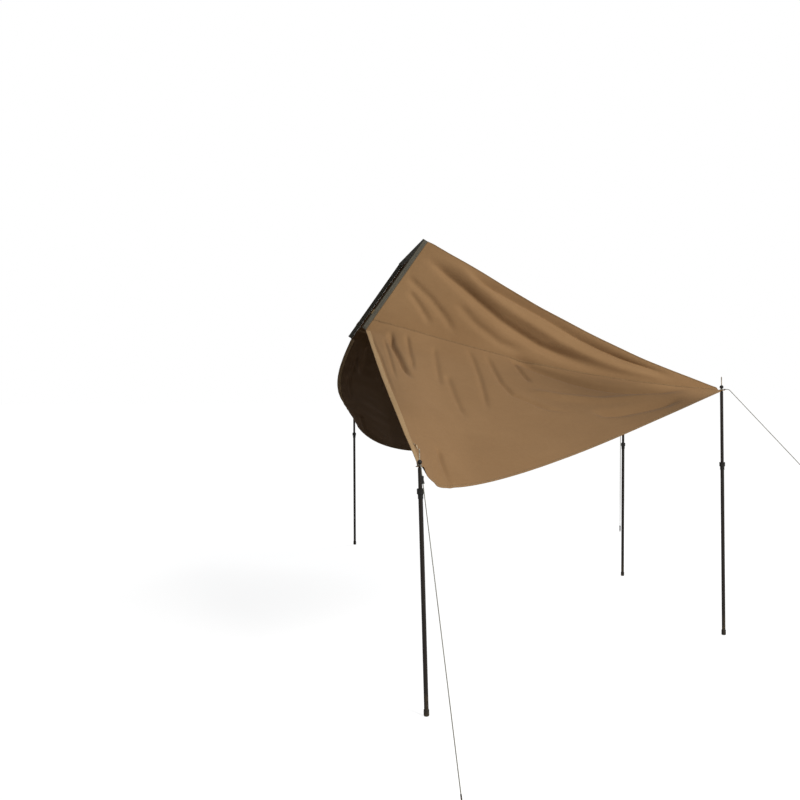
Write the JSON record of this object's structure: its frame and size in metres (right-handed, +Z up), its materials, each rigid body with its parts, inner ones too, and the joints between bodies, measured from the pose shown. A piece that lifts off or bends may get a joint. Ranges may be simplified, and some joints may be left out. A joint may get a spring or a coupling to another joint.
{
  "type": "roof tent sun canopy",
  "caption": "Canvas sun canopy that zips to the open front of a roof tent and stands on telescopic twist-lock poles with guy lines.",
  "frame": {"origin": "middle of the bounding box at ground level, without the guy lines and what is on them", "axes": "+X out from the tent, +Y across the tent towards its left side, +Z up"},
  "size_m": [3.1516, 6.4111, 2.8553],
  "materials": {
    "canvas": "woven cotton canvas, matt",
    "hem_canvas": "doubled and stitched canvas, matt",
    "tape": "woven tape with a coil or cord along its edge",
    "pole_tube": "dark powder coat, satin",
    "dark_plastic": "moulded nylon, satin",
    "rubber": "moulded rubber, matt",
    "steel": "plated steel, satin",
    "guy_line": "braided cord, matt"
  },
  "bodies": {
    "canopy": {"roof_panel": "canvas", "roof_front_hem": "hem_canvas", "right_gable": "canvas", "left_gable": "canvas", "right_wing": "canvas", "left_wing": "canvas", "right_wing_hem": "hem_canvas", "left_wing_hem": "hem_canvas", "right_zip_tape": "tape", "left_zip_tape": "tape", "top_welt": "tape", "rear_right_eyelet": "steel", "rear_left_eyelet": "steel", "front_right_eyelet": "steel", "front_left_eyelet": "steel", "rear_right_guy_line": "guy_line", "rear_right_guy_eye": "guy_line", "rear_right_guy_loop": "guy_line", "front_right_guy_line": "guy_line", "front_right_guy_eye": "guy_line", "front_right_guy_loop": "guy_line"},
    "rear_right_upper": {"rear_right_upper_tube": "pole_tube", "rear_right_end_bush": "dark_plastic", "rear_right_spike": "steel"},
    "rear_right_lower": {"rear_right_foot": "rubber", "rear_right_lower_tube": "pole_tube", "rear_right_lock_collet": "dark_plastic"},
    "rear_right_collar": {"rear_right_twist_collar": "dark_plastic"},
    "rear_right_ball": {"rear_right_ball": "dark_plastic"},
    "rear_left_upper": {"rear_left_upper_tube": "pole_tube", "rear_left_end_bush": "dark_plastic", "rear_left_spike": "steel"},
    "rear_left_lower": {"rear_left_foot": "rubber", "rear_left_lower_tube": "pole_tube", "rear_left_lock_collet": "dark_plastic"},
    "rear_left_collar": {"rear_left_twist_collar": "dark_plastic"},
    "rear_left_ball": {"rear_left_ball": "dark_plastic"},
    "front_right_upper": {"front_right_upper_tube": "pole_tube", "front_right_end_bush": "dark_plastic", "front_right_spike": "steel"},
    "front_right_lower": {"front_right_foot": "rubber", "front_right_lower_tube": "pole_tube", "front_right_lock_collet": "dark_plastic"},
    "front_right_collar": {"front_right_twist_collar": "dark_plastic"},
    "front_right_ball": {"front_right_ball": "dark_plastic"},
    "front_left_upper": {"front_left_upper_tube": "pole_tube", "front_left_end_bush": "dark_plastic", "front_left_spike": "steel", "front_left_guy_line": "guy_line", "front_left_guy_tie": "guy_line"},
    "front_left_lower": {"front_left_foot": "rubber", "front_left_lower_tube": "pole_tube", "front_left_lock_collet": "dark_plastic"},
    "front_left_collar": {"front_left_twist_collar": "dark_plastic"},
    "front_left_ball": {"front_left_ball": "dark_plastic"},
    "right_slider": {"right_zip_slider": "dark_plastic"},
    "left_slider": {"left_zip_slider": "dark_plastic"},
    "rear_right_tensioner": {"rear_right_tensioner": "dark_plastic"},
    "front_left_tensioner": {"front_left_tensioner": "dark_plastic"}
  },
  "joints": [
    {"name": "rear_right_tilt", "type": "hinge", "parent": "canopy", "child": "rear_right_upper", "pos_m": [-1.09454, -2.62, 1.33263], "axis": [1, 0, 0], "range_deg": [-8, 8]},
    {"name": "rear_right_extend", "type": "slide", "parent": "rear_right_upper", "child": "rear_right_lower", "axis": [0.0275, 0, -0.9996], "range_m": [-0.09, 0.78]},
    {"name": "rear_right_twist", "type": "hinge", "parent": "rear_right_lower", "child": "rear_right_collar", "pos_m": [-1.09118, -2.62, 1.21079], "axis": [-0.0275, 0, 0.9996], "range_deg": [0, 180]},
    {"name": "rear_right_ball_pull", "type": "slide", "parent": "rear_right_upper", "child": "rear_right_ball", "axis": [-0.0275, 0, 0.9996], "range_m": [0, 0.09]},
    {"name": "rear_left_tilt", "type": "hinge", "parent": "canopy", "child": "rear_left_upper", "pos_m": [-1.06481, 2.62, 1.39763], "axis": [1, 0, 0], "range_deg": [-8, 8]},
    {"name": "rear_left_extend", "type": "slide", "parent": "rear_left_upper", "child": "rear_left_lower", "axis": [0.005, 0, -1], "range_m": [-0.155, 0.72]},
    {"name": "rear_left_twist", "type": "hinge", "parent": "rear_left_lower", "child": "rear_left_collar", "pos_m": [-1.06389, 2.62, 1.21103], "axis": [-0.005, 0, 1], "range_deg": [0, 180]},
    {"name": "rear_left_ball_pull", "type": "slide", "parent": "rear_left_upper", "child": "rear_left_ball", "axis": [-0.005, 0, 1], "range_m": [0, 0.09]},
    {"name": "front_right_tilt", "type": "hinge", "parent": "canopy", "child": "front_right_upper", "pos_m": [1.25824, -1.3, 1.72263], "axis": [1, 0, 0], "range_deg": [-8, 8]},
    {"name": "front_right_extend", "type": "slide", "parent": "front_right_upper", "child": "front_right_lower", "axis": [0.0092, 0, -1], "range_m": [-0.48, 0.39]},
    {"name": "front_right_twist", "type": "hinge", "parent": "front_right_lower", "child": "front_right_collar", "pos_m": [1.26296, -1.3, 1.21103], "axis": [-0.0092, 0, 1], "range_deg": [0, 180]},
    {"name": "front_right_ball_pull", "type": "slide", "parent": "front_right_upper", "child": "front_right_ball", "axis": [-0.0092, 0, 1], "range_m": [0, 0.09]},
    {"name": "front_left_tilt", "type": "hinge", "parent": "canopy", "child": "front_left_upper", "pos_m": [1.28207, 0.7, 1.72263], "axis": [1, 0, 0], "range_deg": [-8, 8]},
    {"name": "front_left_extend", "type": "slide", "parent": "front_left_upper", "child": "front_left_lower", "axis": [-0.0046, 0, -1], "range_m": [-0.44, 0.39]},
    {"name": "front_left_twist", "type": "hinge", "parent": "front_left_lower", "child": "front_left_collar", "pos_m": [1.27971, 0.7, 1.21103], "axis": [0.0046, 0, 1], "range_deg": [0, 180]},
    {"name": "front_left_ball_pull", "type": "slide", "parent": "front_left_upper", "child": "front_left_ball", "axis": [0.0046, 0, 1], "range_m": [0, 0.09]},
    {"name": "right_zip", "type": "slide", "parent": "canopy", "child": "right_slider", "axis": [0.5738, 0, 0.819], "range_m": [-0.13, 0.6]},
    {"name": "left_zip", "type": "slide", "parent": "canopy", "child": "left_slider", "axis": [0.5738, 0, 0.819], "range_m": [-0.13, 0.6]},
    {"name": "rear_right_tension", "type": "slide", "parent": "canopy", "child": "rear_right_tensioner", "axis": [0.0114, -0.6288, -0.7775], "range_m": [-0.04, 1.4]},
    {"name": "front_left_tension", "type": "slide", "parent": "front_left_upper", "child": "front_left_tensioner", "axis": [0.0046, 0, 1], "range_m": [0, 1.1]}
  ]
}
